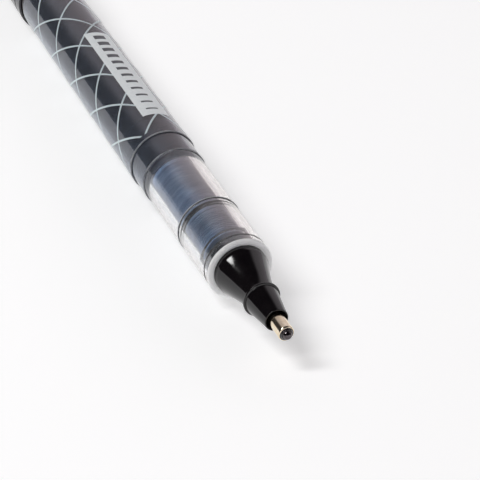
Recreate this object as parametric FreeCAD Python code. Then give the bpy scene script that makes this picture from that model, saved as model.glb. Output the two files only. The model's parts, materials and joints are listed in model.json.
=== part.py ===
"""Liquid-ink brush ball pen, lying on its side with the cap posted on its tail.

Millimetres. +X runs along the pen towards the writing ball and +Z is up. The origin is the centre of
the whole pen's footprint, on the surface that it lies on. Along the pen, a station is the distance
behind the writing ball's centre, and every turned piece is given by its outline in (station, radius).
"""

import FreeCAD
import Part

import math
import os

V = FreeCAD.Vector

# ---- Driving dimensions -----------------------------------------------------------------------
BALL_D = 1.5                # writing ball
BARREL_D = 12.0             # barrel, the main diameter
BARREL_BORE_D = 10.1
NECK_D = 11.5               # the barrel's stepped-down front, which the cap's mouth goes over
SLEEVE_D = 11.1             # clear front sleeve, rear half
SLEEVE_FRONT_D = 10.9       # clear front sleeve, front half
SLEEVE_BORE_D = 8.0
SOCKET_D = 2.6              # metal tip
WICK_D = 1.4
CAP_D = 12.8
CAP_BORE_D = 11.36
RUN = 0.02                  # radial gap between the ball and its seat
PRESS = 0.02                # radial gap left between pieces that are pressed or glued together
SLIDE = 0.08                # radial gap between the cap and what it slides on

# Stations along the pen
HOLDER_FRONT = 3.95         # front end of the tip holder
HOLDER_STOP = 8.45          # where the tip's rear end rests in the holder
COLLAR_FRONT = 9.6          # thin collar behind the tip holder's cone
COLLAR_REAR = 10.0
SLEEVE_FRONT = 18.45        # front face of the clear sleeve
NOSE_FLANGE_REAR = 20.3
COUNTERBORE_REAR = 22.9     # where the sleeve's front counterbore ends
SLEEVE_STEP = 31.6          # step in the sleeve, level with the collector seal
BUNG_FRONT = 46.8
BARREL_FRONT = 48.0         # front face of the barrel's neck
SHOULDER = 53.9             # where the neck meets the full barrel, and the cap's stop
SLEEVE_REAR = 60.2
INK_REAR = 113.6
BARREL_REAR = 121.0
TAIL_REAR = 135.5
CAP_MOUTH = 122.3
CAP_LENGTH = 60.5

# Cap, as depths from its mouth
CAP_MOUTH_BORE = 6.3        # length of the wide mouth bore
INNER_CAP_START = 35.7
CROWN_SPIGOT_START = 52.5
SHELL_END = 57.0

# Clip
CLIP_WIDTH = 4.0
CLIP_THICK = 0.8
CLIP_LENGTH = 38.5
CLIP_STANDOFF = 1.7         # gap between the arm and the cap at the root
CLIP_TIP_STANDOFF = 1.1
CLIP_LEG_DEPTH = 55.75      # front of the leg, from the cap's mouth

# Comb collectors
FIN_PITCH_FRONT = 0.85
FIN_PITCH_REAR = 0.60
FIN_SHARE = 0.5             # share of the pitch that is fin
COLLECTOR_R = 3.8
COLLECTOR_CORE_R = 2.6
COMB_SLOT = 0.5             # width of the capillary slot that runs along the combs

BALL_R = BALL_D / 2
BARREL_R = BARREL_D / 2
BARREL_BORE_R = BARREL_BORE_D / 2
NECK_R = NECK_D / 2
SLEEVE_R = SLEEVE_D / 2
SLEEVE_FRONT_R = SLEEVE_FRONT_D / 2
SLEEVE_BORE_R = SLEEVE_BORE_D / 2
SOCKET_R = SOCKET_D / 2
WICK_R = WICK_D / 2
CAP_R = CAP_D / 2
CAP_BORE_R = CAP_BORE_D / 2
CAP_REAR = CAP_MOUTH + CAP_LENGTH
COUNTERBORE_R = 4.42        # the sleeve's front opening
TAIL_SPIGOT_R = CAP_BORE_R - SLIDE
MOUTH_BORE_R = NECK_R + SLIDE + 0.02
WICK_TUBE_R = 1.15

# The clip turns about the pen's axis until it touches the surface that the cap lies on.
CLIP_OUTER = CAP_R + CLIP_STANDOFF + CLIP_THICK
CLIP_CORNER = math.hypot(CLIP_OUTER, CLIP_WIDTH / 2)
CLIP_CORNER_ANGLE = math.degrees(math.atan2(CLIP_WIDTH / 2, CLIP_OUTER))
CLIP_ROLL = math.degrees(math.acos(-CAP_R / CLIP_CORNER)) - CLIP_CORNER_ANGLE
CLIP_REACH = CLIP_CORNER * math.sin(math.radians(CLIP_ROLL - CLIP_CORNER_ANGLE))

# The writing ball's centre and the pen's axis in the row frame
BALL_X = (CAP_REAR - BALL_R) / 2
AXIS_Y = (CAP_R - CLIP_REACH) / 2
AXIS_Z = CAP_R


# ---- Helpers ----------------------------------------------------------------------------------
def at(station, radius=0.0):
    """A point above the pen's axis."""
    return V(BALL_X - station, AXIS_Y, AXIS_Z + radius)


def turned(outline):
    """A solid turned about the pen's axis. outline holds (station, radius) points; a point that is
    followed by ("arc", mid, end) is joined to end by an arc through mid."""
    edges, here = [], at(*outline[0])
    for item in outline[1:] + [outline[0]]:
        if item[0] == "arc":
            mid, end = at(*item[1]), at(*item[2])
            edges.append(Part.Arc(here, mid, end).toShape())
        else:
            end = at(*item)
            if here.distanceToPoint(end) < 1e-7:
                continue
            edges.append(Part.LineSegment(here, end).toShape())
        here = end
    face = Part.Face(Part.Wire(edges))
    return Part.makeSolid(face.revolve(at(0), V(1, 0, 0), 360))


def tube(start, end, inner, outer):
    """A plain tube, or a rod when inner is 0."""
    return turned([(start, inner), (end, inner), (end, outer), (start, outer)])


def o_ring(station, mean_radius, section_radius):
    """A rubber ring round the pen's axis."""
    return Part.makeTorus(mean_radius, section_radius, at(station), V(1, 0, 0))


def block(start, end, low, high, width):
    """A box above the axis, from station start to end and from radius low to high."""
    corner = V(BALL_X - end, AXIS_Y - width / 2, AXIS_Z + low)
    return Part.makeBox(end - start, width, high - low, corner)


def rolled(shape, degrees):
    """The shape turned about the pen's axis, from above the axis towards +Y."""
    copy = shape.copy()
    copy.rotate(at(0), V(-1, 0, 0), degrees)
    return copy


# ---- Point and nose ---------------------------------------------------------------------------
def writing_ball():
    return Part.makeSphere(BALL_R, at(0))


def ball_socket():
    """Metal tip: a crimped lip in front of the ball's centre, a round seat, an ink bore and a
    wider bore for the wick."""
    seat = BALL_R + RUN
    lip, seat_back = -0.24, 0.62
    lip_r = math.sqrt(seat ** 2 - lip ** 2)
    back_r = math.sqrt(seat ** 2 - seat_back ** 2)
    ink_bore_rear, wick_bore_rear = 2.2, HOLDER_STOP - 0.05
    return turned([
        (lip, lip_r),
        (lip, lip_r + 0.10),
        ("arc", (-0.08, 0.93), (0.16, 1.00)),
        ("arc", (0.248, 1.212), (0.46, SOCKET_R)),
        (wick_bore_rear, SOCKET_R),
        (wick_bore_rear, WICK_R + PRESS),
        (ink_bore_rear, WICK_R + PRESS),
        (ink_bore_rear, back_r),
        (seat_back, back_r),
        ("arc", (0.0, seat), (lip, lip_r)),
    ])


def tip_holder():
    """Small cone with a countersunk front and a thin collar. Its spigot goes into the nose cone and
    its bore grips the metal tip."""
    end_r, cone_r, collar_r, spigot_r = 1.90, 2.76, 3.04, 1.9
    rim_r, bore = 1.70, SOCKET_R + PRESS
    spigot_rear = 16.0
    return turned([
        (HOLDER_FRONT + 0.70, bore),
        (HOLDER_FRONT, rim_r),
        (HOLDER_FRONT, end_r - 0.12),
        ("arc", (HOLDER_FRONT + 0.05, end_r - 0.04), (HOLDER_FRONT + 0.20, end_r)),
        (COLLAR_FRONT - 0.10, cone_r),
        (COLLAR_FRONT, collar_r - 0.12),
        ("arc", (COLLAR_FRONT + 0.05, collar_r - 0.04), (COLLAR_FRONT + 0.18, collar_r)),
        (COLLAR_REAR, collar_r),
        (COLLAR_REAR, spigot_r),
        (spigot_rear, spigot_r),
        (spigot_rear, WICK_R + PRESS),
        (HOLDER_STOP, WICK_R + PRESS),
        (HOLDER_STOP, bore),
    ])


def nose_cone():
    """Trumpet-shaped cone that fills the sleeve's front opening, with a flange in the counterbore
    and a rear spigot that centres the front collector."""
    front_r, base_r = 2.62, COUNTERBORE_R - PRESS
    spigot_r = 3.1
    return turned([
        (COLLAR_REAR + PRESS, front_r - 0.12),
        (COLLAR_REAR + 0.14, front_r),
        ("arc", (11.50, 2.775), (12.90, 3.06)),
        ("arc", (15.15, 3.677), (SLEEVE_FRONT - 1.05, base_r)),
        (NOSE_FLANGE_REAR, base_r),
        (NOSE_FLANGE_REAR, spigot_r),
        (COUNTERBORE_REAR - 0.1, spigot_r),
        (COUNTERBORE_REAR - 0.1, WICK_TUBE_R + PRESS),
        (16.1, WICK_TUBE_R + PRESS),
        (16.1, 1.9 + PRESS),
        (COLLAR_REAR + PRESS, 1.9 + PRESS),
    ])


def nose_gasket():
    """Flat rubber gasket between the nose cone's flange and the collector."""
    return tube(NOSE_FLANGE_REAR + PRESS, NOSE_FLANGE_REAR + 0.8, 3.1 + PRESS, COUNTERBORE_R - PRESS)


# ---- Clear sleeve and what it holds -----------------------------------------------------------
def front_sleeve():
    """Clear sleeve: rounded front lip with a shallow groove, a small step half way back, and a
    spigot with a ring groove that goes into the barrel."""
    spigot_r = BARREL_BORE_R - PRESS
    front, step = SLEEVE_FRONT, SLEEVE_STEP
    groove, groove_end, groove_depth = 19.65, 20.25, 0.10
    ring, ring_half = 56.5, 0.42
    return turned([
        (front, COUNTERBORE_R),
        (front, SLEEVE_FRONT_R - 0.30),
        ("arc", (front + 0.10, SLEEVE_FRONT_R - 0.10), (front + 0.38, SLEEVE_FRONT_R)),
        (groove, SLEEVE_FRONT_R),
        (groove + 0.12, SLEEVE_FRONT_R - groove_depth),
        (groove_end - 0.12, SLEEVE_FRONT_R - groove_depth),
        (groove_end, SLEEVE_FRONT_R),
        (step - 0.25, SLEEVE_FRONT_R),
        (step - 0.25, SLEEVE_FRONT_R - 0.15),
        (step + 0.10, SLEEVE_FRONT_R - 0.15),
        (step + 0.25, SLEEVE_R),
        (BARREL_FRONT - PRESS, SLEEVE_R),
        (BARREL_FRONT - PRESS, spigot_r),
        (ring - ring_half, spigot_r),
        (ring - ring_half, spigot_r - 0.55),
        (ring + ring_half, spigot_r - 0.55),
        (ring + ring_half, spigot_r),
        (SLEEVE_REAR - 0.3, spigot_r),
        (SLEEVE_REAR, spigot_r - 0.2),
        (SLEEVE_REAR, SLEEVE_BORE_R),
        (COUNTERBORE_REAR, SLEEVE_BORE_R),
        (COUNTERBORE_REAR, COUNTERBORE_R),
    ])


def neck_seal():
    """Rubber ring in the sleeve's rear groove, against the barrel's bore."""
    return o_ring(56.5, BARREL_BORE_R - 0.30, 0.25)


def comb(start, end, pitch, end_disc):
    """One comb collector: thin fins on a core, with a solid disc at each end and one capillary
    slot along its top."""
    outline = [(start, WICK_TUBE_R + PRESS), (start, COLLECTOR_R), (start + end_disc, COLLECTOR_R)]
    fins = int((end - start - 2 * end_disc) / pitch)
    gap = pitch * (1 - FIN_SHARE)
    for i in range(fins):
        root = start + end_disc + i * pitch
        outline += [(root, COLLECTOR_CORE_R), (root + gap, COLLECTOR_CORE_R)]
        outline += [(root + gap, COLLECTOR_R), (root + pitch, COLLECTOR_R)]
    last = start + end_disc + fins * pitch
    if end - last > 1e-6:
        outline.append((end, COLLECTOR_R))
    outline.append((end, WICK_TUBE_R + PRESS))
    slot = block(start + end_disc, end - end_disc, COLLECTOR_CORE_R - 0.6, COLLECTOR_R + 1, COMB_SLOT)
    return turned(outline).cut(slot)


def front_collector():
    return comb(COUNTERBORE_REAR, SLEEVE_STEP - 0.65, FIN_PITCH_FRONT, 0.5)


def collector_seal():
    """Rubber ring between the two combs, which seals them to the sleeve."""
    return tube(SLEEVE_STEP - 0.6, SLEEVE_STEP + 0.6, WICK_TUBE_R + PRESS, SLEEVE_BORE_R - PRESS)


def rear_collector():
    return comb(SLEEVE_STEP + 0.65, BUNG_FRONT - 0.05, FIN_PITCH_REAR, 0.5)


def tank_bung():
    """Plug between the combs and the ink tank, with a bore for the wick tube and an air hole."""
    rear = BARREL_FRONT + 2.2
    plug = turned([
        (BUNG_FRONT, WICK_TUBE_R + PRESS),
        (BUNG_FRONT, SLEEVE_BORE_R - PRESS),
        (rear - 1.0, SLEEVE_BORE_R - PRESS),
        (rear, SLEEVE_BORE_R - 0.8),
        (rear, WICK_TUBE_R + PRESS),
    ])
    air_hole = Part.makeCylinder(0.35, 12, at(rear + 3, 2.4), V(1, 0, 0))
    return plug.cut(air_hole)


def wick_tube():
    """Thin pipe that guides the wick from the ink tank to the nose cone."""
    return tube(16.2, 55.0, WICK_R + PRESS, WICK_TUBE_R)


def feed_wick():
    """Fibre rod that carries ink from the tank to the ball."""
    return turned([(2.3, 0), (2.3, 0.4), (2.7, WICK_R), (58.0, WICK_R), (58.4, 0.4), (58.4, 0)])


# ---- Barrel and tail --------------------------------------------------------------------------
def barrel():
    """Tube of the ink tank. Its front steps down to the neck that the cap goes over."""
    edge = 0.30
    return turned([
        (BARREL_FRONT, BARREL_BORE_R),
        (BARREL_FRONT, NECK_R - 0.25),
        ("arc", (BARREL_FRONT + 0.07, NECK_R - 0.07), (BARREL_FRONT + 0.25, NECK_R)),
        (SHOULDER, NECK_R),
        (SHOULDER, BARREL_R - edge),
        ("arc", (SHOULDER + 0.29 * edge, BARREL_R - 0.29 * edge), (SHOULDER + edge, BARREL_R)),
        (BARREL_REAR - 0.15, BARREL_R),
        (BARREL_REAR, BARREL_R - 0.15),
        (BARREL_REAR, BARREL_BORE_R),
    ])


def ink_fill():
    """The charge of ink: the tank's bore from the bung back to the tail plug, round the wick."""
    return turned([
        (BARREL_FRONT + 2.25, WICK_TUBE_R + PRESS),
        (BARREL_FRONT + 2.25, SLEEVE_BORE_R - PRESS),
        (SLEEVE_REAR + PRESS, SLEEVE_BORE_R - PRESS),
        (SLEEVE_REAR + PRESS, BARREL_BORE_R - PRESS),
        (INK_REAR, BARREL_BORE_R - PRESS),
        (INK_REAR, 0),
        (58.5, 0),
        (58.5, WICK_R + PRESS),
        (55.05, WICK_R + PRESS),
        (55.05, WICK_TUBE_R + PRESS),
    ])


def tail_plug():
    """Closes the tank. The ring groove is on its insert, its flange is flush with the barrel, the
    cap posts on its spigot, and it is hollow from the tank's side."""
    insert_r = BARREL_BORE_R - PRESS
    flange_rear = BARREL_REAR + 1.0
    ring, ring_half = 117.5, 0.42
    hollow_r, wall = 3.9, 1.5
    return turned([
        (114.0, insert_r - 0.4),
        (114.4, insert_r),
        (ring - ring_half, insert_r),
        (ring - ring_half, insert_r - 0.55),
        (ring + ring_half, insert_r - 0.55),
        (ring + ring_half, insert_r),
        (BARREL_REAR + PRESS, insert_r),
        (BARREL_REAR + PRESS, BARREL_R - 0.15),
        (BARREL_REAR + 0.17, BARREL_R),
        (flange_rear - 0.2, BARREL_R),
        (flange_rear, BARREL_R - 0.2),
        (flange_rear, MOUTH_BORE_R - SLIDE),
        (flange_rear + 2.2, MOUTH_BORE_R - SLIDE),
        (flange_rear + 2.5, TAIL_SPIGOT_R),
        (TAIL_REAR - 1.2, TAIL_SPIGOT_R),
        ("arc", (TAIL_REAR - 0.35, TAIL_SPIGOT_R - 0.35), (TAIL_REAR, TAIL_SPIGOT_R - 1.2)),
        (TAIL_REAR, 0),
        (TAIL_REAR - wall, 0),
        (TAIL_REAR - wall, hollow_r - 0.3),
        (114.0, hollow_r),
    ])


def tail_seal():
    """Rubber ring in the tail plug's groove, against the barrel's bore."""
    return o_ring(117.5, BARREL_BORE_R - 0.30, 0.25)


# ---- Cap --------------------------------------------------------------------------------------
def depth(distance):
    """The station that lies this far inside the cap's mouth."""
    return CAP_MOUTH + distance


def clip_slot():
    """The slot that the clip's leg goes through, at the closed end of the cap."""
    slot = block(depth(CLIP_LEG_DEPTH - 0.45), depth(SHELL_END), 5.0, CAP_R + 1, CLIP_WIDTH + 0.4)
    return rolled(slot, CLIP_ROLL)


def cap_shell():
    shell = turned([
        (depth(0), MOUTH_BORE_R + 0.15),
        (depth(0), CAP_R - 0.35),
        ("arc", (depth(0.10), CAP_R - 0.10), (depth(0.35), CAP_R)),
        (depth(3.0), CAP_R),
        (depth(3.1), CAP_R - 0.12),
        (depth(3.6), CAP_R - 0.12),
        (depth(3.7), CAP_R),
        (depth(SHELL_END), CAP_R),
        (depth(SHELL_END), CAP_BORE_R),
        (depth(CAP_MOUTH_BORE + 0.2), CAP_BORE_R),
        (depth(CAP_MOUTH_BORE), MOUTH_BORE_R),
        (depth(0.2), MOUTH_BORE_R),
    ])
    return shell.cut(clip_slot())


def inner_cap():
    """Soft liner that seals on the clear sleeve's front face when the pen is capped."""
    outer, end_r, bore = CAP_BORE_R - PRESS, 5.0, 4.6
    return turned([
        (depth(INNER_CAP_START), bore + 0.25),
        (depth(INNER_CAP_START), outer),
        (depth(CROWN_SPIGOT_START - 0.2), outer),
        (depth(CROWN_SPIGOT_START - 0.2), end_r),
        (depth(56.7), end_r),
        (depth(56.7), 0),
        (depth(55.7), 0),
        (depth(55.7), 2.2),
        (depth(51.0), bore - 0.4),
        (depth(INNER_CAP_START + 1.5), bore),
    ])


def cap_crown():
    """End plug of the cap, with a domed end and a tubular spigot that traps the clip's leg."""
    flange_r, spigot_r = CAP_R, CAP_BORE_R - PRESS
    plug = turned([
        (depth(CROWN_SPIGOT_START), 5.0 + PRESS),
        (depth(CROWN_SPIGOT_START), spigot_r),
        (depth(SHELL_END + PRESS), spigot_r),
        (depth(SHELL_END + PRESS), flange_r),
        (depth(CAP_LENGTH - 1.6), flange_r),
        ("arc", (depth(CAP_LENGTH - 0.55), flange_r - 0.75), (depth(CAP_LENGTH), flange_r - 2.6)),
        (depth(CAP_LENGTH), 0),
        (depth(SHELL_END + PRESS), 0),
        (depth(SHELL_END + PRESS), 5.0 + PRESS),
    ])
    return plug.cut(clip_slot())


def clip():
    """Stamped steel clip: a leg through the cap's slot, a sloping arm and a rolled bead near its
    free end that rests against the cap."""
    root_out = CLIP_OUTER
    tip_out = CAP_R + CLIP_TIP_STANDOFF + CLIP_THICK
    leg_rear = CLIP_LEG_DEPTH + CLIP_THICK
    free = leg_rear - CLIP_LENGTH
    bead = free + 3.0
    leg_foot = CAP_R - 1.05
    bend = 1.2
    touch = CAP_R + 0.08
    p = lambda d, r: at(depth(d), r)
    path = [
        Part.LineSegment(p(leg_rear, leg_foot), p(leg_rear, root_out - bend)).toShape(),
        Part.Arc(p(leg_rear, root_out - bend), p(leg_rear - 0.29 * bend, root_out - 0.29 * bend),
                 p(leg_rear - bend, root_out)).toShape(),
        Part.LineSegment(p(leg_rear - bend, root_out), p(bead + 1.6, tip_out)).toShape(),
        Part.Arc(p(bead + 1.6, tip_out), p(bead, touch + CLIP_THICK + 0.25), p(bead - 1.6, tip_out)).toShape(),
        Part.LineSegment(p(bead - 1.6, tip_out), p(free, tip_out + 0.5)).toShape(),
        Part.LineSegment(p(free, tip_out + 0.5), p(free + 0.1, tip_out + 0.5 - CLIP_THICK)).toShape(),
        Part.LineSegment(p(free + 0.1, tip_out + 0.5 - CLIP_THICK), p(bead - 1.7, tip_out - CLIP_THICK)).toShape(),
        Part.Arc(p(bead - 1.7, tip_out - CLIP_THICK), p(bead, touch), p(bead + 1.7, tip_out - CLIP_THICK)).toShape(),
        Part.LineSegment(p(bead + 1.7, tip_out - CLIP_THICK),
                         p(CLIP_LEG_DEPTH - 0.4, root_out - CLIP_THICK)).toShape(),
        Part.Arc(p(CLIP_LEG_DEPTH - 0.4, root_out - CLIP_THICK),
                 p(CLIP_LEG_DEPTH - 0.12, root_out - CLIP_THICK - 0.12),
                 p(CLIP_LEG_DEPTH, root_out - CLIP_THICK - 0.4)).toShape(),
        Part.LineSegment(p(CLIP_LEG_DEPTH, root_out - CLIP_THICK - 0.4), p(CLIP_LEG_DEPTH, leg_foot)).toShape(),
        Part.LineSegment(p(CLIP_LEG_DEPTH, leg_foot), p(leg_rear, leg_foot)).toShape(),
    ]
    face = Part.Face(Part.Wire(path))
    face.translate(V(0, -CLIP_WIDTH / 2, 0))
    strip = face.extrude(V(0, CLIP_WIDTH, 0))
    # The free end is rounded in plan.
    nose = Part.makeCylinder(CLIP_WIDTH / 2, 8, at(depth(free + CLIP_WIDTH / 2), 4), V(0, 0, 1))
    rest = block(depth(free + CLIP_WIDTH / 2), depth(leg_rear + 1), 0, CLIP_OUTER + 1, CLIP_WIDTH + 1)
    return rolled(strip.common(nose.fuse(rest)), CLIP_ROLL)


PARTS = {
    "writing_ball": writing_ball,
    "ball_socket": ball_socket,
    "tip_holder": tip_holder,
    "nose_cone": nose_cone,
    "nose_gasket": nose_gasket,
    "front_sleeve": front_sleeve,
    "neck_seal": neck_seal,
    "front_collector": front_collector,
    "collector_seal": collector_seal,
    "rear_collector": rear_collector,
    "tank_bung": tank_bung,
    "wick_tube": wick_tube,
    "feed_wick": feed_wick,
    "barrel": barrel,
    "ink_fill": ink_fill,
    "tail_plug": tail_plug,
    "tail_seal": tail_seal,
    "cap_shell": cap_shell,
    "inner_cap": inner_cap,
    "cap_crown": cap_crown,
    "clip": clip,
}


def main():
    os.makedirs("parts", exist_ok=True)
    for name, make in PARTS.items():
        shape = make()
        if not shape.isValid() or shape.Volume <= 0 or not shape.Solids:
            raise ValueError(f"{name} isn't a valid solid")
        shape.exportStep(os.path.join("parts", name + ".step"))
        print(f"{name}: {len(shape.Solids)} solid, {shape.Volume:.2f} mm3")


if __name__ == "__main__":
    main()
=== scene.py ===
"""Looks of a liquid-ink brush ball pen, lying on a white floor with its cap posted on its tail.

Metres, in the part's own frame: +X runs along the pen towards the writing ball and +Z is up. Outlines of
turned pieces are in millimetres, as (station, radius). A station is the distance behind the ball's centre.
"""

import json
import math

import bpy
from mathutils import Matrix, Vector


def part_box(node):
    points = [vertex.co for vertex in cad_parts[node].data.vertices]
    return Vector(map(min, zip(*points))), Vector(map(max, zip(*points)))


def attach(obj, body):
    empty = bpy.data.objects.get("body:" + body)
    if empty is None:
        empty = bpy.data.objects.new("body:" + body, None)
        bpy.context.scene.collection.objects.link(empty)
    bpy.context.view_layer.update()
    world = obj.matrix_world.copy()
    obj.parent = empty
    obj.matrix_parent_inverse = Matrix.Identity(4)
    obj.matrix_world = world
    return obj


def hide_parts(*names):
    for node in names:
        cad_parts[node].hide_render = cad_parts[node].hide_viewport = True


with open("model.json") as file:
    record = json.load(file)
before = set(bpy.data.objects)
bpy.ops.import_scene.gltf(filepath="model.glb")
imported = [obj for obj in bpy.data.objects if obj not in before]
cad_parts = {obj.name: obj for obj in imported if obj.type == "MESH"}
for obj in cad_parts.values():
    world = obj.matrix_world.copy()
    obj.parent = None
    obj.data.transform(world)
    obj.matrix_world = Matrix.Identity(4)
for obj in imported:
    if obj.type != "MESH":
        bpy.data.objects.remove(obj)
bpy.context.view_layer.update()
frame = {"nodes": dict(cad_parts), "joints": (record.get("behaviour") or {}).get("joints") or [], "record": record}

MM = 0.001
TURNS = 192                     # facets round a turned piece


# ---- Places taken from the frame ----------------------------------------------------------------
JOINTS = {joint["name"]: joint for joint in frame["joints"]}
MOUNTS = {mount["name"]: mount for mount in frame["record"]["mounts"]}
BALL = Vector(JOINTS["ball_roll"]["pos_m"])


def station(x):
    """Millimetres behind the ball's centre, for a place along X."""
    return (BALL.x - x) / MM


def span(node):
    """Front and rear stations of a CAD node."""
    low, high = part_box(node)
    return station(high.x), station(low.x)


def reach(node):
    """Largest radius of a CAD node about the pen's axis, in millimetres."""
    low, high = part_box(node)
    return (high.z - BALL.z) / MM


BALL_R = reach("writing_ball")
BARREL_R = reach("barrel")
BARREL_FRONT, BARREL_REAR = span("barrel")
SLEEVE_FRONT, SLEEVE_REAR = span("front_sleeve")
SLEEVE_R = reach("front_sleeve")
SLEEVE_BORE_R = reach("collector_seal")
COMB_R = reach("front_collector")
NECK_R = MOUNTS["cap_seat"]["dims"]["r_mm"]
SHOULDER = BARREL_FRONT + 5.9
TANK_R = reach("ink_fill")
PRESS = 0.02
TUBE_BORE = 1.17                # for the wick's tube
WICK_BORE = 0.72                # for the wick itself
HOLDER_SPIGOT = 1.9             # radius of the tip holder's rear half
PRESSED_R = SLEEVE_BORE_R + PRESS + 0.004     # for pieces pressed into the clear sleeve


# ---- Mesh helpers -------------------------------------------------------------------------------
def on_pen(s, r, turn):
    """A point at station s and radius r, turned by an angle in radians from +Z towards +Y."""
    return (BALL.x - s * MM, BALL.y + r * MM * math.sin(turn), BALL.z + r * MM * math.cos(turn))


def add_mesh(name, points, faces, material, body, sharp=35):
    """A piece that rides on a body, smooth except at edges sharper than the given angle."""
    mesh = bpy.data.meshes.new(name)
    mesh.from_pydata(points, [], faces)
    mesh.validate()
    mesh.update()
    mesh.materials.append(material)
    mesh.polygons.foreach_set("use_smooth", [True] * len(mesh.polygons))
    mesh.set_sharp_from_angle(angle=math.radians(sharp))
    piece = bpy.data.objects.new(name, mesh)
    bpy.context.scene.collection.objects.link(piece)
    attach(piece, body)
    return piece


GUARD = 0.03                    # a ring this far beyond a fillet keeps the flat beside it flat


def rounded(outline):
    """The outline with each corner (station, radius, fillet) turned into a short arc."""
    result = []
    count = len(outline)
    for i, corner in enumerate(outline):
        fillet = corner[2] if len(corner) > 2 else 0
        here = Vector(corner[:2])
        if not fillet:
            result.append(tuple(here))
            continue
        before = Vector(outline[i - 1][:2])
        after = Vector(outline[(i + 1) % count][:2])
        u, v = (before - here), (after - here)
        reach_u, reach_v = u.length, v.length
        u.normalize()
        v.normalize()
        half = math.acos(max(-1, min(1, u.dot(v)))) / 2
        back = min(fillet / math.tan(half), 0.49 * reach_u, 0.49 * reach_v)
        start, end = here + u * back, here + v * back
        steps = 6
        if reach_u > 2 * (back + GUARD):
            result.append(tuple(start + u * GUARD))
        for k in range(steps + 1):
            t = k / steps
            result.append(tuple(start * (1 - t) ** 2 + here * (2 * t * (1 - t)) + end * t ** 2))
        if reach_v > 2 * (back + GUARD):
            result.append(tuple(end + v * GUARD))
    return result


def curve(start, middle, end, steps=16):
    """Points along a smooth curve that passes through three points; the first is left out."""
    (x0, y0), (x1, y1), (x2, y2) = start, middle, end
    points = []
    for k in range(1, steps + 1):
        t = k / steps
        a, b, c = (1 - t) * (1 - 2 * t), 4 * t * (1 - t), t * (2 * t - 1)
        points.append((a * x0 + b * x1 + c * x2, a * y0 + b * y1 + c * y2))
    return points


def turned(name, outline, material, body, turns=TURNS, sharp=35):
    """A piece turned about the pen's axis. The outline closes on itself, unless it starts and ends on
    the axis."""
    poles = outline[0][1] == 0 and outline[-1][1] == 0
    rings = outline[1:-1] if poles else outline
    points, faces = [], []
    for s, r in rings:
        points += [on_pen(s, r, 2 * math.pi * k / turns) for k in range(turns)]
    bands = len(rings) - 1 if poles else len(rings)
    for i in range(bands):
        a, b = i * turns, (i + 1) % len(rings) * turns
        for k in range(turns):
            n = (k + 1) % turns
            faces.append((a + k, b + k, b + n, a + n))
    if poles:
        first, last = len(points), len(points) + 1
        points += [on_pen(*outline[0], 0), on_pen(*outline[-1], 0)]
        end = (len(rings) - 1) * turns
        for k in range(turns):
            n = (k + 1) % turns
            faces.append((first, k, n))
            faces.append((last, end + n, end + k))
    piece = add_mesh(name, points, faces, material, body, sharp)
    face_outwards(piece)
    return piece


def finish_rings(piece, material, *rings):
    """Gives another finish to the faces that lie within (front, rear, least radius) of a turned piece."""
    index = len(piece.data.materials)
    piece.data.materials.append(material)
    for face in piece.data.polygons:
        corners = [piece.data.vertices[v].co for v in face.vertices]
        for front, rear, least in rings:
            if all(front <= station(c.x) <= rear and math.hypot(c.y - BALL.y, c.z - BALL.z) / MM >= least
                   for c in corners):
                face.material_index = index


def face_outwards(piece):
    """Turns every face outwards, so that the mesh's volume is positive."""
    mesh = piece.data
    volume = 0
    for face in mesh.polygons:
        corners = [mesh.vertices[v].co - BALL for v in face.vertices]
        for i in range(1, len(corners) - 1):
            volume += corners[0].dot(corners[i].cross(corners[i + 1]))
    if volume < 0:
        mesh.flip_normals()


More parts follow.
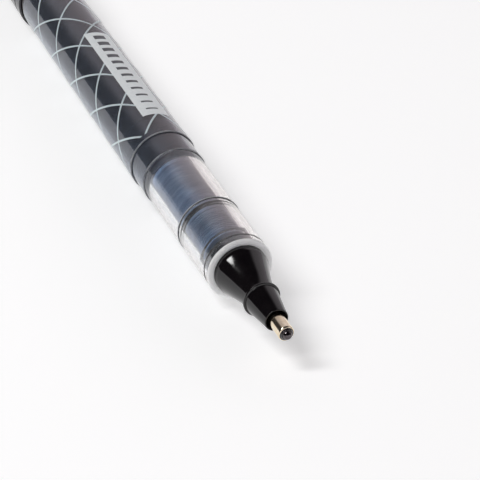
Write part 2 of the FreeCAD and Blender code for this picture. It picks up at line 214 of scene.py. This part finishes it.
# ---- Node helpers -------------------------------------------------------------------------------
class Nodes:
    """Short calls that build one material's node tree."""

    def __init__(self, name):
        self.material = bpy.data.materials.new(name)
        self.material.use_nodes = True
        self.tree = self.material.node_tree
        self.shader = self.tree.nodes["Principled BSDF"]
        self.place = self.add("ShaderNodeTexCoord").outputs["Object"]

    def add(self, kind, **settings):
        node = self.tree.nodes.new(kind)
        for key, value in settings.items():
            setattr(node, key, value)
        return node

    def link(self, a, b):
        self.tree.links.new(a, b)

    def set(self, **values):
        for key, value in values.items():
            self.shader.inputs[key.replace("_", " ")].default_value = value

    def stretched(self, along, across):
        """The place, scaled along and across the pen."""
        mapping = self.add("ShaderNodeMapping")
        mapping.inputs["Scale"].default_value = (along, across, across)
        self.link(self.place, mapping.inputs["Vector"])
        return mapping.outputs["Vector"]

    def across(self, start, end):
        """Rises from 0 at start to 1 at end, two angles in degrees round the pen from +Z towards +Y."""
        split = self.add("ShaderNodeSeparateXYZ")
        self.link(self.place, split.inputs[0])
        sides = []
        for socket, centre in ((split.outputs["Y"], BALL.y), (split.outputs["Z"], BALL.z)):
            side = self.add("ShaderNodeMath", operation="SUBTRACT")
            self.link(socket, side.inputs[0])
            side.inputs[1].default_value = centre
            sides.append(side.outputs[0])
        turn = self.add("ShaderNodeMath", operation="ARCTAN2")
        self.link(sides[0], turn.inputs[0])
        self.link(sides[1], turn.inputs[1])
        fade = self.add("ShaderNodeMapRange", interpolation_type="SMOOTHSTEP")
        fade.inputs["From Min"].default_value = math.radians(start)
        fade.inputs["From Max"].default_value = math.radians(end)
        self.link(turn.outputs[0], fade.inputs["Value"])
        return fade.outputs["Result"]

    def noise(self, scale, detail=4.0, place=None, rough=0.5):
        node = self.add("ShaderNodeTexNoise")
        node.inputs["Scale"].default_value = scale
        node.inputs["Detail"].default_value = detail
        node.inputs["Roughness"].default_value = rough
        self.link(place or self.place, node.inputs["Vector"])
        return node.outputs["Fac"]

    def ramp(self, value, *stops):
        """A colour or grey ramp; each stop is (position, grey or colour)."""
        node = self.add("ShaderNodeValToRGB")
        band = node.color_ramp
        while len(band.elements) < len(stops):
            band.elements.new(0.5)
        for element, (position, colour) in zip(band.elements, stops):
            element.position = position
            shade = (colour,) * 3 if isinstance(colour, (int, float)) else colour
            element.color = (*shade, 1)
        self.link(value, node.inputs["Fac"])
        return node.outputs["Color"]

    def mix(self, factor, a, b, blend="MIX"):
        """Mixes two colours, each a socket or a constant."""
        node = self.add("ShaderNodeMix", data_type="RGBA", blend_type=blend)
        for socket, value in ((0, factor), (6, a), (7, b)):
            if isinstance(value, bpy.types.NodeSocket):
                self.link(value, node.inputs[socket])
            elif socket:
                node.inputs[socket].default_value = (*value, 1)
            else:
                node.inputs[socket].default_value = value
        return node.outputs[2]

    def colour(self, socket):
        self.link(socket, self.shader.inputs["Base Color"])

    def roughness(self, value, low, high):
        node = self.add("ShaderNodeMapRange")
        node.inputs["To Min"].default_value = low
        node.inputs["To Max"].default_value = high
        self.link(value, node.inputs["Value"])
        self.link(node.outputs["Result"], self.shader.inputs["Roughness"])

    def bump(self, height, distance, strength=1.0):
        node = self.add("ShaderNodeBump")
        node.inputs["Strength"].default_value = strength
        node.inputs["Distance"].default_value = distance
        self.link(height, node.inputs["Height"])
        if self.shader.inputs["Normal"].is_linked:
            before = self.shader.inputs["Normal"].links[0].from_socket
            self.link(before, node.inputs["Normal"])
        self.link(node.outputs["Normal"], self.shader.inputs["Normal"])


# ---- Materials ----------------------------------------------------------------------------------
PAINTED_LIGHT_TURN = (-30, 8)          # angles round the pen between which painted cool light turns to painted warm light


def gloss_moulding(name, dark, light, low=0.10, high=0.22):
    """Opaque gloss plastic: faint flow marks, fine dust-like speckle and handling scratches."""
    m = Nodes(name)
    m.colour(m.ramp(m.noise(420, 5), (0.35, dark), (0.75, light)))
    scratches = m.noise(900, 6, m.stretched(6, 1), 0.65)
    m.roughness(m.ramp(scratches, (0.45, 0), (0.72, 1)), low, high)
    m.bump(m.noise(1500, 3), 1.2e-6, 0.5)
    m.set(IOR=1.5)
    return m.material


def clear_moulding():
    """Clear, slightly hazy plastic with faint flow lines along it. The middle of its upper side has painted cool
    light and both edges have a painted warm reflection."""
    m = Nodes("clear_plastic")
    haze = m.noise(160, 3)
    cool = m.ramp(haze, (0.3, (0.91, 0.945, 1.0)), (0.7, (0.955, 0.975, 1.0)))
    warm = m.ramp(haze, (0.3, (0.99, 0.95, 0.925)), (0.7, (1.0, 0.975, 0.96)))
    # painted light: cool in the middle of the upper side, warm reflection towards both edges
    m.colour(m.mix(m.across(-10, 35), m.mix(m.across(-110, -80), warm, cool), warm))
    m.roughness(m.ramp(m.noise(700, 5, m.stretched(0.3, 1)), (0.5, 0), (0.8, 1)), 0.015, 0.06)
    m.bump(m.noise(260, 3, m.stretched(0.15, 1)), 3e-6, 0.35)
    m.set(Transmission_Weight=0.96, IOR=1.5)
    return m.material


def edge_highlight_band(name, dull, bright):
    """Plastic rubbed matt along an edge. Its pale colour there is a painted highlight."""
    m = Nodes(name)
    rub = m.noise(700, 5, m.stretched(2, 1), 0.65)
    # pale colour along the edge: a painted highlight
    m.colour(m.ramp(rub, (0.35, dull), (0.65, bright)))
    m.roughness(rub, 0.3, 0.5)
    m.bump(rub, 4e-6, 0.5)
    m.set(Transmission_Weight=0.3, IOR=1.5)
    return m.material


def frosted_moulding():
    """The ground front face of the clear sleeve."""
    m = Nodes("frosted_plastic")
    m.colour(m.ramp(m.noise(900, 5), (0.3, (0.93, 0.94, 0.95)), (0.7, (0.99, 0.99, 0.99))))
    m.roughness(m.noise(2500, 4), 0.35, 0.6)
    m.bump(m.noise(4000, 3), 4e-6, 0.6)
    m.set(Transmission_Weight=0.08, IOR=1.5)
    m.set(Subsurface_Weight=0.6, Subsurface_Scale=0.0015, Subsurface_Radius=(1, 1, 1))
    return m.material


def smoke_moulding():
    """Smoke-tinted clear plastic of the barrel. Its slate on one side is painted cool light and its brown on the
    other is painted warm light.
    """
    m = Nodes("smoke_plastic")
    slate = m.ramp(m.noise(150, 4), (0.3, (0.27, 0.305, 0.38)), (0.75, (0.34, 0.38, 0.455)))
    brown = m.ramp(m.noise(190, 4), (0.3, (0.26, 0.255, 0.295)), (0.75, (0.34, 0.325, 0.37)))
    # painted light: slate where cool light falls, brown where warm light falls
    m.colour(m.mix(m.across(*PAINTED_LIGHT_TURN), slate, brown))
    scratches = m.noise(800, 6, m.stretched(8, 1), 0.65)
    m.roughness(m.ramp(scratches, (0.5, 0), (0.75, 1)), 0.04, 0.12)
    m.bump(m.noise(300, 3, m.stretched(0.2, 1)), 2.5e-6, 0.35)
    m.set(Transmission_Weight=0.87, IOR=1.47)
    return m.material


def ink_liquid():
    m = Nodes("ink")
    m.colour(m.ramp(m.noise(90, 3), (0.35, (0.006, 0.007, 0.012)), (0.7, (0.016, 0.013, 0.014))))
    m.roughness(m.noise(200, 3), 0.12, 0.3)
    m.bump(m.noise(120, 2), 2e-5, 0.3)
    m.set(IOR=1.34)
    return m.material


def comb_moulding():
    """Fins wet with ink in streaks that run round and along them. Their slate-blue on one side is painted cool
    light and their brown on the other is painted warm light.
    """
    m = Nodes("comb_plastic")
    streaks = m.noise(420, 5, m.stretched(3.0, 0.5), 0.6)
    pools = m.noise(130, 3)
    slate = m.ramp(streaks, (0.30, (0.20, 0.30, 0.49)), (0.72, (0.39, 0.55, 0.80)))
    brown = m.ramp(streaks, (0.30, (0.19, 0.17, 0.24)), (0.72, (0.40, 0.36, 0.48)))
    # painted light: cool slate on one side turning to warm brown on the other
    dry_with_painted_light = m.mix(m.across(*PAINTED_LIGHT_TURN), slate, brown)
    m.colour(m.mix(m.ramp(pools, (0.42, 0), (0.68, 0.35)), dry_with_painted_light, (0.060, 0.066, 0.088)))
    m.roughness(streaks, 0.25, 0.5)
    m.bump(m.noise(1800, 3), 4e-6, 0.4)
    return m.material


def soft_rubber():
    m = Nodes("black_rubber")
    m.colour(m.ramp(m.noise(900, 4), (0.3, (0.010, 0.010, 0.011)), (0.8, (0.028, 0.027, 0.028))))
    m.roughness(m.noise(1500, 4), 0.45, 0.7)
    m.bump(m.noise(2600, 3), 5e-6, 0.5)
    return m.material


def pale_liner():
    m = Nodes("liner_plastic")
    m.colour(m.ramp(m.noise(300, 4), (0.3, (0.78, 0.79, 0.78)), (0.7, (0.88, 0.885, 0.87))))
    m.roughness(m.noise(900, 4), 0.3, 0.5)
    m.bump(m.noise(1400, 3), 3e-6, 0.4)
    m.set(Subsurface_Weight=0.2, Subsurface_Scale=0.0008)
    return m.material


def wick_bundle():
    """Ink-soaked fibres that run along the wick."""
    m = Nodes("wick_fibre")
    fibres = m.noise(2600, 5, m.stretched(0.05, 1))
    m.colour(m.ramp(fibres, (0.35, (0.010, 0.010, 0.016)), (0.7, (0.055, 0.055, 0.075))))
    m.roughness(fibres, 0.5, 0.8)
    m.bump(fibres, 2e-5, 0.7)
    return m.material


def turned_metal(name, dark, light, low, high, lines=9000):
    """Metal with the fine circular marks that a lathe leaves."""
    m = Nodes(name)
    rings = m.noise(lines, 4, m.stretched(1, 0.02), 0.6)
    stain = m.noise(1400, 4)
    m.colour(m.ramp(stain, (0.3, dark), (0.7, light)))
    m.roughness(rings, low, high)
    m.bump(rings, 1.5e-6, 0.5)
    m.set(Metallic=1.0)
    return m.material


def inky_metal():
    """Metal under a glossy film of ink."""
    m = Nodes("inky_metal")
    film = m.noise(2200, 4)
    m.colour(m.ramp(film, (0.3, (0.010, 0.008, 0.010)), (0.7, (0.030, 0.022, 0.024))))
    m.roughness(film, 0.06, 0.16)
    m.bump(film, 2e-6, 0.4)
    m.set(IOR=1.6)
    return m.material


def brushed_steel():
    """Polished spring steel, brushed along the clip, with faint rub marks."""
    m = Nodes("clip_steel")
    grain = m.noise(3200, 5, m.stretched(0.03, 1), 0.6)
    m.colour(m.ramp(m.noise(260, 4), (0.3, (0.60, 0.60, 0.61)), (0.7, (0.74, 0.74, 0.75))))
    m.roughness(grain, 0.16, 0.34)
    m.bump(grain, 2e-6, 0.5)
    m.set(Metallic=1.0)
    return m.material


def print_ink(name, worn, full):
    """Screen-printed ink: slightly uneven, with pinholes and a soft sheen."""
    m = Nodes(name)
    grain = m.noise(1500, 5, None, 0.6)
    m.colour(m.ramp(grain, (0.32, worn), (0.62, full)))
    m.roughness(grain, 0.28, 0.45)
    m.bump(grain, 3e-6, 0.4)
    m.set(IOR=1.5)
    return m.material


MATERIALS = {
    "ball_metal": turned_metal("ball_metal", (0.07, 0.06, 0.062), (0.13, 0.115, 0.118), 0.04, 0.09, 3000),
    "tip_metal": turned_metal("tip_metal", (0.80, 0.665, 0.475), (0.94, 0.835, 0.66), 0.10, 0.22),
    "black_plastic": gloss_moulding(
        "black_plastic", (0.0035, 0.0025, 0.0035), (0.007, 0.0055, 0.0065), 0.06, 0.15),
    "black_rubber": soft_rubber(),
    "clear_plastic": clear_moulding(),
    "comb_plastic": comb_moulding(),
    "liner_plastic": pale_liner(),
    "wick_fibre": wick_bundle(),
    "smoke_plastic": smoke_moulding(),
    "ink": ink_liquid(),
    "cap_plastic": gloss_moulding("cap_plastic", (0.020, 0.022, 0.027), (0.032, 0.033, 0.038)),
    "clip_steel": brushed_steel(),
}
FROSTED = frosted_moulding()
INKY_METAL = inky_metal()
# the black plug's pale slate colour is a painted veil of light seen through the clear sleeve
PLUG_PAINTED_VEIL = gloss_moulding("plug_painted_veil", (0.075, 0.092, 0.135), (0.125, 0.15, 0.205), 0.25, 0.4)
# pale edge bands: painted highlights along the sleeve's and the barrel's edges
CLEAR_EDGE_HIGHLIGHT = edge_highlight_band("clear_edge_highlight", (0.45, 0.47, 0.50), (0.80, 0.82, 0.84))
SMOKE_EDGE_HIGHLIGHT = edge_highlight_band("smoke_edge_highlight", (0.16, 0.165, 0.18), (0.48, 0.49, 0.52))
PALE_PRINT = print_ink("pale_print", (0.54, 0.63, 0.66), (0.65, 0.74, 0.77))
LABEL_PRINT = print_ink("label_print", (0.84, 0.90, 0.91), (0.93, 0.97, 0.98))
DARK_PRINT = print_ink("dark_print", (0.045, 0.055, 0.065), (0.07, 0.08, 0.09))


def dress_cad_nodes():
    """Gives each CAD node the material of its record slot."""
    for part in frame["record"]["subparts"]:
        node = frame["nodes"][part["node"]]
        node.data.materials.clear()
        node.data.materials.append(MATERIALS[part["material_slot"]])


# ---- Point and nose -----------------------------------------------------------------------------
def make_ball():
    """The writing ball, with poles on the pen's axis."""
    steps = 48
    outline = []
    for k in range(steps + 1):
        angle = math.pi * k / steps
        outline.append((-BALL_R * math.cos(angle), BALL_R * math.sin(angle)))
    outline[0] = (-BALL_R, 0)
    outline[-1] = (BALL_R, 0)
    ball = turned("polished_ball", outline, MATERIALS["ball_metal"], "ball", 96)
    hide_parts("writing_ball")


def make_socket():
    """The metal tip: its crimped lip is wet with ink, and its shoulder is rounded."""
    seat, body = BALL_R + PRESS, reach("ball_socket")
    rear = span("ball_socket")[1]
    lip, seat_back, feed = -0.12, 0.62, 0.45
    outer = [(lip, 0.80)] + curve((lip, 0.80), (-0.08, 0.88), (0.04, 0.94), 8)
    outer += curve((0.04, 0.94), (0.12, 0.99), (0.20, 1.07), 4)
    outer += curve((0.20, 1.07), (0.28, 1.22), (0.46, body), 12)
    outer += [(0.49, body), (rear, body)]
    inner = [(rear, WICK_BORE), (2.2, WICK_BORE), (2.2, feed), (seat_back, feed)]
    for k in range(9):
        s = seat_back + (lip - seat_back) * k / 8
        inner.append((s, math.sqrt(seat ** 2 - s ** 2)))
    socket = turned("gold_tip", outer + inner, MATERIALS["tip_metal"], "pen", 128)
    finish_rings(socket, INKY_METAL, (lip - 0.01, 0.22, 0))
    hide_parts("ball_socket")


def make_tip_holder():
    """The small cone, countersunk round the tip, with its thin collar."""
    front, rear = span("tip_holder")
    bore = reach("ball_socket") + PRESS
    collar, collar_rear = reach("tip_holder"), 10.0
    tip_stop = 8.45                 # where the metal tip's rear end rests
    outline = rounded([
        (front + 0.80, bore), (front, 1.74, 0.03), (front, 1.90, 0.12), (9.55, 2.76, 0.04),
        (9.62, collar, 0.15), (collar_rear, collar, 0.12), (collar_rear, HOLDER_SPIGOT),
        (rear, HOLDER_SPIGOT, 0.1), (rear, WICK_BORE), (tip_stop, WICK_BORE), (tip_stop, bore)])
    holder = turned("tip_cone", outline, MATERIALS["black_plastic"], "pen")
    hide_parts("tip_holder")


def make_nose_cone():
    """The trumpet-shaped cone. Its flare steepens all the way to the crease in front of the sleeve."""
    front, rear = span("nose_cone")
    base, crease = reach("nose_cone"), 17.4
    flare = curve((front + 0.12, 2.62), (11.5, 2.775), (12.9, 3.06), 14)
    flare += curve((12.9, 3.06), (15.15, 3.677), (crease, base), 20)
    outline = [(front, 2.50), (front + 0.04, 2.58), (front + 0.12, 2.62)] + flare
    flange_rear, spigot, counterbore = 20.3, 3.1, 16.1
    outline += [(flange_rear, base), (flange_rear, spigot), (rear, spigot), (rear, TUBE_BORE)]
    outline += [(counterbore, TUBE_BORE), (counterbore, HOLDER_SPIGOT + PRESS)]
    outline.append((front, HOLDER_SPIGOT + PRESS))
    nose = turned("trumpet_nose", outline, MATERIALS["black_plastic"], "pen")
    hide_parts("nose_cone")


# ---- Clear sleeve -------------------------------------------------------------------------------
def make_sleeve():
    """The clear sleeve. Its front face is ground, so it gets a frosted finish."""
    front, outer, bore = SLEEVE_FRONT, SLEEVE_R - 0.1, SLEEVE_BORE_R + PRESS
    mouth, spigot = reach("nose_cone") + PRESS, TANK_R
    outline = rounded([
        (front, mouth), (front, outer, 0.32), (19.62, outer, 0.04), (19.74, outer - 0.11, 0.03),
        (20.15, outer - 0.11, 0.03), (20.28, outer, 0.04), (31.35, outer, 0.05), (31.38, outer - 0.15, 0.04),
        (31.72, outer - 0.15, 0.04), (31.85, SLEEVE_R, 0.05), (BARREL_FRONT - PRESS, SLEEVE_R, 0.10),
        (BARREL_FRONT - PRESS, spigot), (SLEEVE_REAR - 0.3, spigot), (SLEEVE_REAR, spigot - 0.2),
        (SLEEVE_REAR, bore), (22.9, bore, 0.04), (22.9, mouth, 0.04)])
    sleeve = turned("clear_sleeve", outline, MATERIALS["clear_plastic"], "pen")
    finish_rings(sleeve, FROSTED, (front - 0.01, front + 0.36, mouth - 0.01))
    # pale bands on the groove edges and the rear shoulder: painted highlights
    finish_rings(sleeve, CLEAR_EDGE_HIGHLIGHT, (19.58, 19.76, outer - 0.13), (31.32, 31.42, outer - 0.13),
                 (31.78, 31.92, outer - 0.01), (BARREL_FRONT - 0.14, BARREL_FRONT, SLEEVE_R - 0.12))
    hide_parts("front_sleeve")


def comb_outline(start, end, pitch):
    """Fins on a core, with a disc at each end."""
    disc, core, share = 0.45, 2.7, 0.55
    count = int((end - start - 2 * disc) / pitch)
    outline = [(start, TUBE_BORE), (start, COMB_R), (start + disc, COMB_R)]
    for i in range(count):
        root = start + disc + i * pitch
        gap = pitch * (1 - share)
        outline += [(root, core), (root + gap, core), (root + gap, COMB_R), (root + pitch, COMB_R)]
    outline += [(end, COMB_R), (end, TUBE_BORE)]
    return outline


def make_combs():
    """The two ink combs that show through the clear sleeve."""
    for node, pitch in (("front_collector", 0.55), ("rear_collector", 0.34)):
        outline = comb_outline(*span(node), pitch)
        comb = turned(node + "_fins", outline, MATERIALS["comb_plastic"], "pen", 128)
        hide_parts(node)


def make_mid_ring():
    """The rubber ring between the combs. It is pressed against the clear sleeve, so it reads dark."""
    start, end = span("collector_seal")
    lip, edge = 0.28, 0.08
    outline = rounded([
        (start, TUBE_BORE), (start, COMB_R, edge), (start + lip, COMB_R), (start + lip, PRESSED_R, edge),
        (end - lip, PRESSED_R, edge), (end - lip, COMB_R), (end, COMB_R, edge), (end, TUBE_BORE)])
    ring = turned("mid_seal", outline, MATERIALS["black_rubber"], "pen", 128)
    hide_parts("collector_seal")


def make_bung():
    """The plug behind the combs, with a chamfered rear end."""
    start, end = span("tank_bung")
    outline = rounded([
        (start, TUBE_BORE), (start, PRESSED_R, 0.10), (end - 1.0, PRESSED_R, 0.10),
        (end, PRESSED_R - 0.8, 0.10), (end, TUBE_BORE)])
    # its slate colour is a painted veil of light, not the plug's own black
    bung = turned("comb_plug", outline, PLUG_PAINTED_VEIL, "pen", 128)
    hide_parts("tank_bung")


# ---- Barrel and print ---------------------------------------------------------------------------
def make_barrel():
    """The smoke-tinted tube: a stepped-down neck, then the printed length behind its shoulder."""
    bore = TANK_R + PRESS
    outline = rounded([
        (BARREL_FRONT, bore, 0.05), (BARREL_FRONT, NECK_R, 0.22), (SHOULDER - 0.42, NECK_R, 0.03),
        (SHOULDER - 0.38, NECK_R - 0.10, 0.03), (SHOULDER, NECK_R - 0.10, 0.03), (SHOULDER, BARREL_R, 0.30),
        (BARREL_REAR, BARREL_R, 0.15), (BARREL_REAR, bore, 0.05)])
    barrel = turned("smoke_barrel", outline, MATERIALS["smoke_plastic"], "pen")
    # pale bands at the neck's front edge and at the shoulder: painted highlights
    finish_rings(barrel, SMOKE_EDGE_HIGHLIGHT, (BARREL_FRONT - 0.01, BARREL_FRONT + 0.20, NECK_R - 0.18),
                 (SHOULDER - 0.01, SHOULDER + 0.22, BARREL_R - 0.22))
    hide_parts("barrel")


PRINT_FRONT = SHOULDER + 1.4
PRINT_REAR = BARREL_REAR - 1.4
LATTICE_PERIOD = 12.28          # along the pen, from one crossing to the next
LATTICE_CROSSING = SHOULDER + 0.78
LATTICE_TURN = math.radians(-30.4)
LATTICE_STARTS = 4
LINE_WIDTH = 0.38
PRINT_LIFT = 0.006


def wrapped_patch(name, rows, lift, material, thick=0.012):
    """A thin printed patch on the barrel. Each row is (station, first angle, last angle, columns)."""
    points, faces = [], []
    top, bottom = BARREL_R + lift + thick, BARREL_R + lift
    columns = rows[0][3]
    layer = len(rows) * (columns + 1)
    for r in (top, bottom):
        for s, a, b, _ in rows:
            points += [on_pen(s, r, a + (b - a) * k / columns) for k in range(columns + 1)]
    for i in range(len(rows) - 1):
        for k in range(columns):
            p = i * (columns + 1) + k
            q = p + columns + 1
            faces.append((p, p + 1, q + 1, q))
            faces.append((layer + p, layer + q, layer + q + 1, layer + p + 1))
    rim = [k for k in range(columns)]
    rim += [i * (columns + 1) + columns for i in range(len(rows) - 1)]
    last = (len(rows) - 1) * (columns + 1)
    rim += [last + columns - k for k in range(columns)]
    rim += [(len(rows) - 1 - i) * (columns + 1) for i in range(len(rows) - 1)]
    for i, p in enumerate(rim):
        q = rim[(i + 1) % len(rim)]
        faces.append((p, layer + p, layer + q, q))
    return add_mesh(name, points, faces, material, "pen", 60)


def make_lattice():
    """Crossing lines: four one way round the barrel and four the other way."""
    slope = 2 * math.pi / LATTICE_STARTS / LATTICE_PERIOD
    lean = math.atan(slope * BARREL_R)
    half = LINE_WIDTH / 2 / math.cos(lean) / BARREL_R
    steps = 180
    for hand, lift in ((1, PRINT_LIFT), (-1, PRINT_LIFT + 0.004)):
        for start in range(LATTICE_STARTS):
            first = LATTICE_TURN + 2 * math.pi * start / LATTICE_STARTS
            rows = []
            for i in range(steps + 1):
                s = PRINT_FRONT + (PRINT_REAR - PRINT_FRONT) * i / steps
                middle = first + hand * slope * (s - LATTICE_CROSSING)
                rows.append((s, middle - half, middle + half, 2))
            side = "right" if hand > 0 else "left"
            wrapped_patch(f"lattice_{side}_{start + 1}", rows, lift, PALE_PRINT)


LABEL_FRONT = SHOULDER + 6.4
LABEL_REAR = SHOULDER + 40.4
LABEL_ANGLES = (math.radians(-13), math.radians(35))
GAUGE_ANGLES = (math.radians(0), math.radians(21))


def make_label():
    """A pale strip with a plain gauge of bars that grow from thin to broad."""
    steps = 24
    rows = []
    for i in range(steps + 1):
        s = LABEL_FRONT + (LABEL_REAR - LABEL_FRONT) * i / steps
        rows.append((s, *LABEL_ANGLES, 28))
    wrapped_patch("label_strip", rows, 2 * PRINT_LIFT + 0.006, LABEL_PRINT)
    bars, margin = 12, 2.2
    for i in range(bars):
        middle = LABEL_FRONT + margin + (LABEL_REAR - LABEL_FRONT - 2 * margin) * i / (bars - 1)
        width = 0.45 + 1.05 * i / (bars - 1)
        rows = [(middle - width / 2, *GAUGE_ANGLES, 16), (middle + width / 2, *GAUGE_ANGLES, 16)]
        wrapped_patch(f"gauge_bar_{i + 1:02d}", rows, 5 * PRINT_LIFT, DARK_PRINT, 0.008)


# ---- Floor, lights and camera -------------------------------------------------------------------
AIM = BALL + Vector((-0.02441, 0.002316, 0.001314))
VIEW_AZIMUTH = math.radians(68.08)
VIEW_ELEVATION = math.radians(33.34)
VIEW_DISTANCE = 0.27019
LENS = 127.6


def direction(azimuth, elevation):
    """Unit vector from the object; azimuth 0 is towards -Y and 90 degrees towards +X."""
    flat = math.cos(elevation)
    return Vector((math.sin(azimuth) * flat, -math.cos(azimuth) * flat, math.sin(elevation)))


FLOOR_GLOW = 0.458
KEY_DIRECTION = (-15.4, 56.0)    # azimuth and elevation in degrees
KEY_DISTANCE = 1.0
KEY_SIZE = (0.19, 0.60)
KEY_RADIANCE = 18
BELOW = (1.3, 1.3, 1.3)
CEILING = (0.03, 0.028, 0.030)
BACKDROP = (0.68, 0.63, 0.66)
BACKDROP_SIDE = (-0.44, -0.10)  # of y
BACKDROP_FRONT = (0.30, 0.0)    # of x
BACKDROP_TOP = (0.80, 0.60)     # of z
ROOM = (1.7, 1.68, 1.72)
ROOM_REACH = (0.42, 0.70)       # of x
ROOM_TOP = (0.42, 0.18)         # of z


def make_camera():
    camera = bpy.data.objects.new("camera", bpy.data.cameras.new("camera"))
    camera.data.sensor_width = 36
    camera.data.lens = LENS
    camera.data.clip_start = 0.01
    camera.data.clip_end = 20
    back = direction(VIEW_AZIMUTH, VIEW_ELEVATION)
    camera.location = AIM + back * VIEW_DISTANCE
    camera.rotation_mode = "QUATERNION"
    camera.rotation_quaternion = (-back).to_track_quat("-Z", "Y")
    bpy.context.scene.collection.objects.link(camera)
    bpy.context.scene.camera = camera


def make_floor():
    """A round white floor."""
    radius, count = 1.2, 96
    points = [(radius * math.cos(2 * math.pi * k / count), radius * math.sin(2 * math.pi * k / count), 0)
              for k in range(count)]
    mesh = bpy.data.meshes.new("floor")
    mesh.from_pydata(points, [], [tuple(range(count))])
    m = Nodes("white_floor")
    m.colour(m.ramp(m.noise(6, 3), (0.3, 0.86), (0.7, 0.88)))
    m.set(Roughness=0.9, Specular_IOR_Level=0.1, Emission_Color=(1, 1, 1, 1), Emission_Strength=FLOOR_GLOW)
    mesh.materials.append(m.material)
    floor = bpy.data.objects.new("floor", mesh)
    bpy.context.scene.collection.objects.link(floor)


def add_softbox(name, azimuth, elevation, distance, width, height, radiance):
    """A soft oval light that faces the pen's front half."""
    lamp = bpy.data.lights.new(name, "AREA")
    lamp.shape = "ELLIPSE"
    lamp.size, lamp.size_y = width, height
    lamp.energy = radiance * math.pi * width * height * math.pi / 4
    away = direction(math.radians(azimuth), math.radians(elevation))
    light = bpy.data.objects.new(name, lamp)
    light.location = AIM + away * distance
    light.rotation_mode = "QUATERNION"
    light.rotation_quaternion = (-away).to_track_quat("-Z", "Y")
    bpy.context.scene.collection.objects.link(light)


class World:
    """Short calls that build the studio's node tree from the direction that a ray leaves in."""

    def __init__(self):
        world = bpy.data.worlds.new("studio")
        bpy.context.scene.world = world
        world.use_nodes = True
        self.tree = world.node_tree
        place = self.tree.nodes.new("ShaderNodeTexCoord")
        split = self.tree.nodes.new("ShaderNodeSeparateXYZ")
        self.tree.links.new(place.outputs["Generated"], split.inputs[0])
        self.x, self.y, self.z = split.outputs

    def fade(self, value, start, end):
        """A smooth step from 0 at start to 1 at end."""
        node = self.tree.nodes.new("ShaderNodeMapRange")
        node.interpolation_type = "SMOOTHSTEP"
        node.inputs["From Min"].default_value = start
        node.inputs["From Max"].default_value = end
        self.tree.links.new(value, node.inputs["Value"])
        return node.outputs["Result"]

    def times(self, a, b):
        node = self.tree.nodes.new("ShaderNodeMath")
        node.operation = "MULTIPLY"
        self.tree.links.new(a, node.inputs[0])
        self.tree.links.new(b, node.inputs[1])
        return node.outputs[0]

    def mix(self, factor, a, b):
        node = self.tree.nodes.new("ShaderNodeMix")
        node.data_type = "RGBA"
        for socket, value in ((0, factor), (6, a), (7, b)):
            if isinstance(value, bpy.types.NodeSocket):
                self.tree.links.new(value, node.inputs[socket])
            else:
                node.inputs[socket].default_value = (*value, 1)
        return node.outputs[2]


def make_world():
    """White below the horizon. Above it the ceiling and one side are dark, a warm backdrop stands behind
    the pen and along its other side, and there is a pale room in front of it."""
    w = World()
    wall = w.times(w.fade(w.y, *BACKDROP_SIDE), w.fade(w.z, *BACKDROP_TOP))
    sky = w.mix(w.times(wall, w.fade(w.x, *BACKDROP_FRONT)), CEILING, BACKDROP)
    room = w.times(w.fade(w.x, *ROOM_REACH), w.fade(w.z, *ROOM_TOP))
    sky = w.mix(room, sky, ROOM)
    whole = w.mix(w.fade(w.z, -0.004, 0.004), BELOW, sky)
    w.tree.links.new(whole, w.tree.nodes["Background"].inputs["Color"])


def main():
    bpy.context.scene.view_settings.view_transform = "Standard"
    make_camera()
    make_floor()
    make_world()
    add_softbox("key", *KEY_DIRECTION, KEY_DISTANCE, *KEY_SIZE, KEY_RADIANCE)
    dress_cad_nodes()
    make_ball()
    make_socket()
    make_tip_holder()
    make_nose_cone()
    make_sleeve()
    make_combs()
    make_mid_ring()
    make_bung()
    make_barrel()
    make_lattice()
    make_label()


main()
